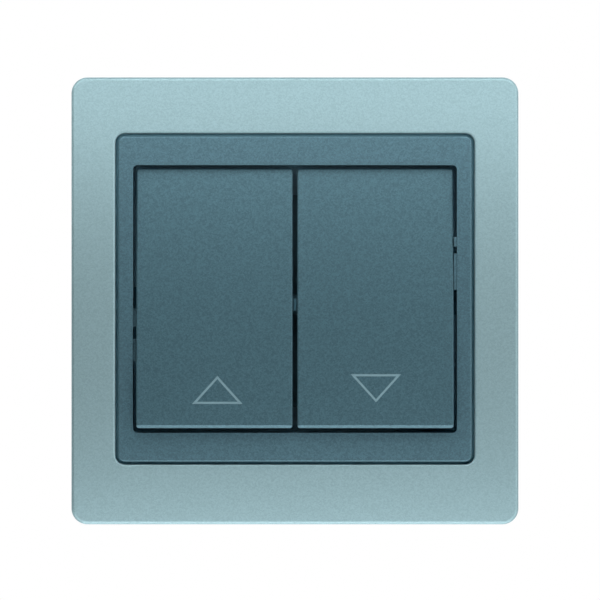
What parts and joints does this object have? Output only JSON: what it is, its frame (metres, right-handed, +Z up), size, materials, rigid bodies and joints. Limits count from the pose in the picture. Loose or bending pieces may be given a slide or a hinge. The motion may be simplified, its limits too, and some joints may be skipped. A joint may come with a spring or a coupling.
{
  "type": "roller shutter switch",
  "caption": "Flush-mounted roller shutter push switch with a square cover frame, an inset bezel and two rocker keys with up and down triangles.",
  "frame": {"origin": "on the wall plane, in the middle between the two side slots for the wall-box screws, which is also the middle of the cover frame", "axes": "+Z up, +X to the right as seen from the front, -Y out of the wall towards the user, so the insert stands in the wall box along +Y"},
  "size_m": [0.084, 0.0327, 0.084],
  "materials": {
    "frame_paint": "satin metallic grey-blue paint",
    "bezel_paint": "satin metallic paint, darker grey-blue",
    "key_paint": "satin metallic paint, darker grey-blue",
    "rocker_plastic": "plain moulded",
    "housing_plastic": "plain moulded",
    "cover_plastic": "plain moulded, dark grey-blue",
    "plunger_plastic": "plain moulded",
    "plate_steel": "zinc plated sheet",
    "screw_steel": "zinc plated",
    "spring_steel": "bright spring wire",
    "contact_silver": "silver contact face",
    "brass": "plain brass"
  },
  "bodies": {
    "switch_body": {"cover_frame": "frame_paint", "bezel": "bezel_paint", "support_plate": "plate_steel", "mechanism_cover": "cover_plastic", "mechanism_base": "housing_plastic", "cover_screws": "screw_steel", "rocker_axle": "screw_steel", "return_spring_up": "spring_steel", "return_spring_down": "spring_steel", "contact_pin_up": "screw_steel", "contact_pin_down": "screw_steel", "fixed_contact_up": "contact_silver", "fixed_contact_down": "contact_silver", "output_strip_up": "brass", "output_strip_down": "brass", "common_bar": "brass", "terminal_block_common": "brass", "terminal_block_up": "brass", "terminal_block_down": "brass", "terminal_screw_common": "screw_steel", "terminal_screw_up": "screw_steel", "terminal_screw_down": "screw_steel"},
    "up_rocker": {"key_up": "key_paint", "rocker_up": "rocker_plastic"},
    "down_rocker": {"key_down": "key_paint", "rocker_down": "rocker_plastic"},
    "up_plunger": {"plunger_up": "plunger_plastic"},
    "down_plunger": {"plunger_down": "plunger_plastic"},
    "up_contact": {"contact_arm_up": "brass", "moving_contact_up": "contact_silver"},
    "down_contact": {"contact_arm_down": "brass", "moving_contact_down": "contact_silver"}
  },
  "joints": [
    {"name": "key_up_press", "type": "hinge", "parent": "switch_body", "child": "up_rocker", "pos_m": [-0.0101, -0.0052, -0.0007], "axis": [1, 0, 0], "range_deg": [0, 7], "stiffness_Nm_per_rad": 0.15, "springref_deg": -8.59},
    {"name": "key_down_press", "type": "hinge", "parent": "switch_body", "child": "down_rocker", "pos_m": [0.0101, -0.0052, -0.0007], "axis": [1, 0, 0], "range_deg": [0, 7], "stiffness_Nm_per_rad": 0.15, "springref_deg": -8.59},
    {"name": "plunger_up_slide", "type": "slide", "parent": "switch_body", "child": "up_plunger", "axis": [0, 1, 0], "range_m": [0, 0.00123]},
    {"name": "plunger_down_slide", "type": "slide", "parent": "switch_body", "child": "down_plunger", "axis": [0, 1, 0], "range_m": [0, 0.00123]},
    {"name": "contact_up_swing", "type": "hinge", "parent": "switch_body", "child": "up_contact", "pos_m": [-0.0095, 0.0034, 0.009], "axis": [1, 0, 0], "range_deg": [0, 3.56], "deforming": ["return_spring_up"]},
    {"name": "contact_down_swing", "type": "hinge", "parent": "switch_body", "child": "down_contact", "pos_m": [0.0095, 0.0034, 0.009], "axis": [1, 0, 0], "range_deg": [0, 3.56], "deforming": ["return_spring_down"]}
  ],
  "couplings": [
    {"joint": "plunger_up_slide", "follows": "key_up_press", "m_per_rad": 0.01},
    {"joint": "plunger_down_slide", "follows": "key_down_press", "m_per_rad": 0.01},
    {"joint": "contact_up_swing", "follows": "key_up_press", "ratio": 0.5076},
    {"joint": "contact_down_swing", "follows": "key_down_press", "ratio": 0.5076}
  ]
}
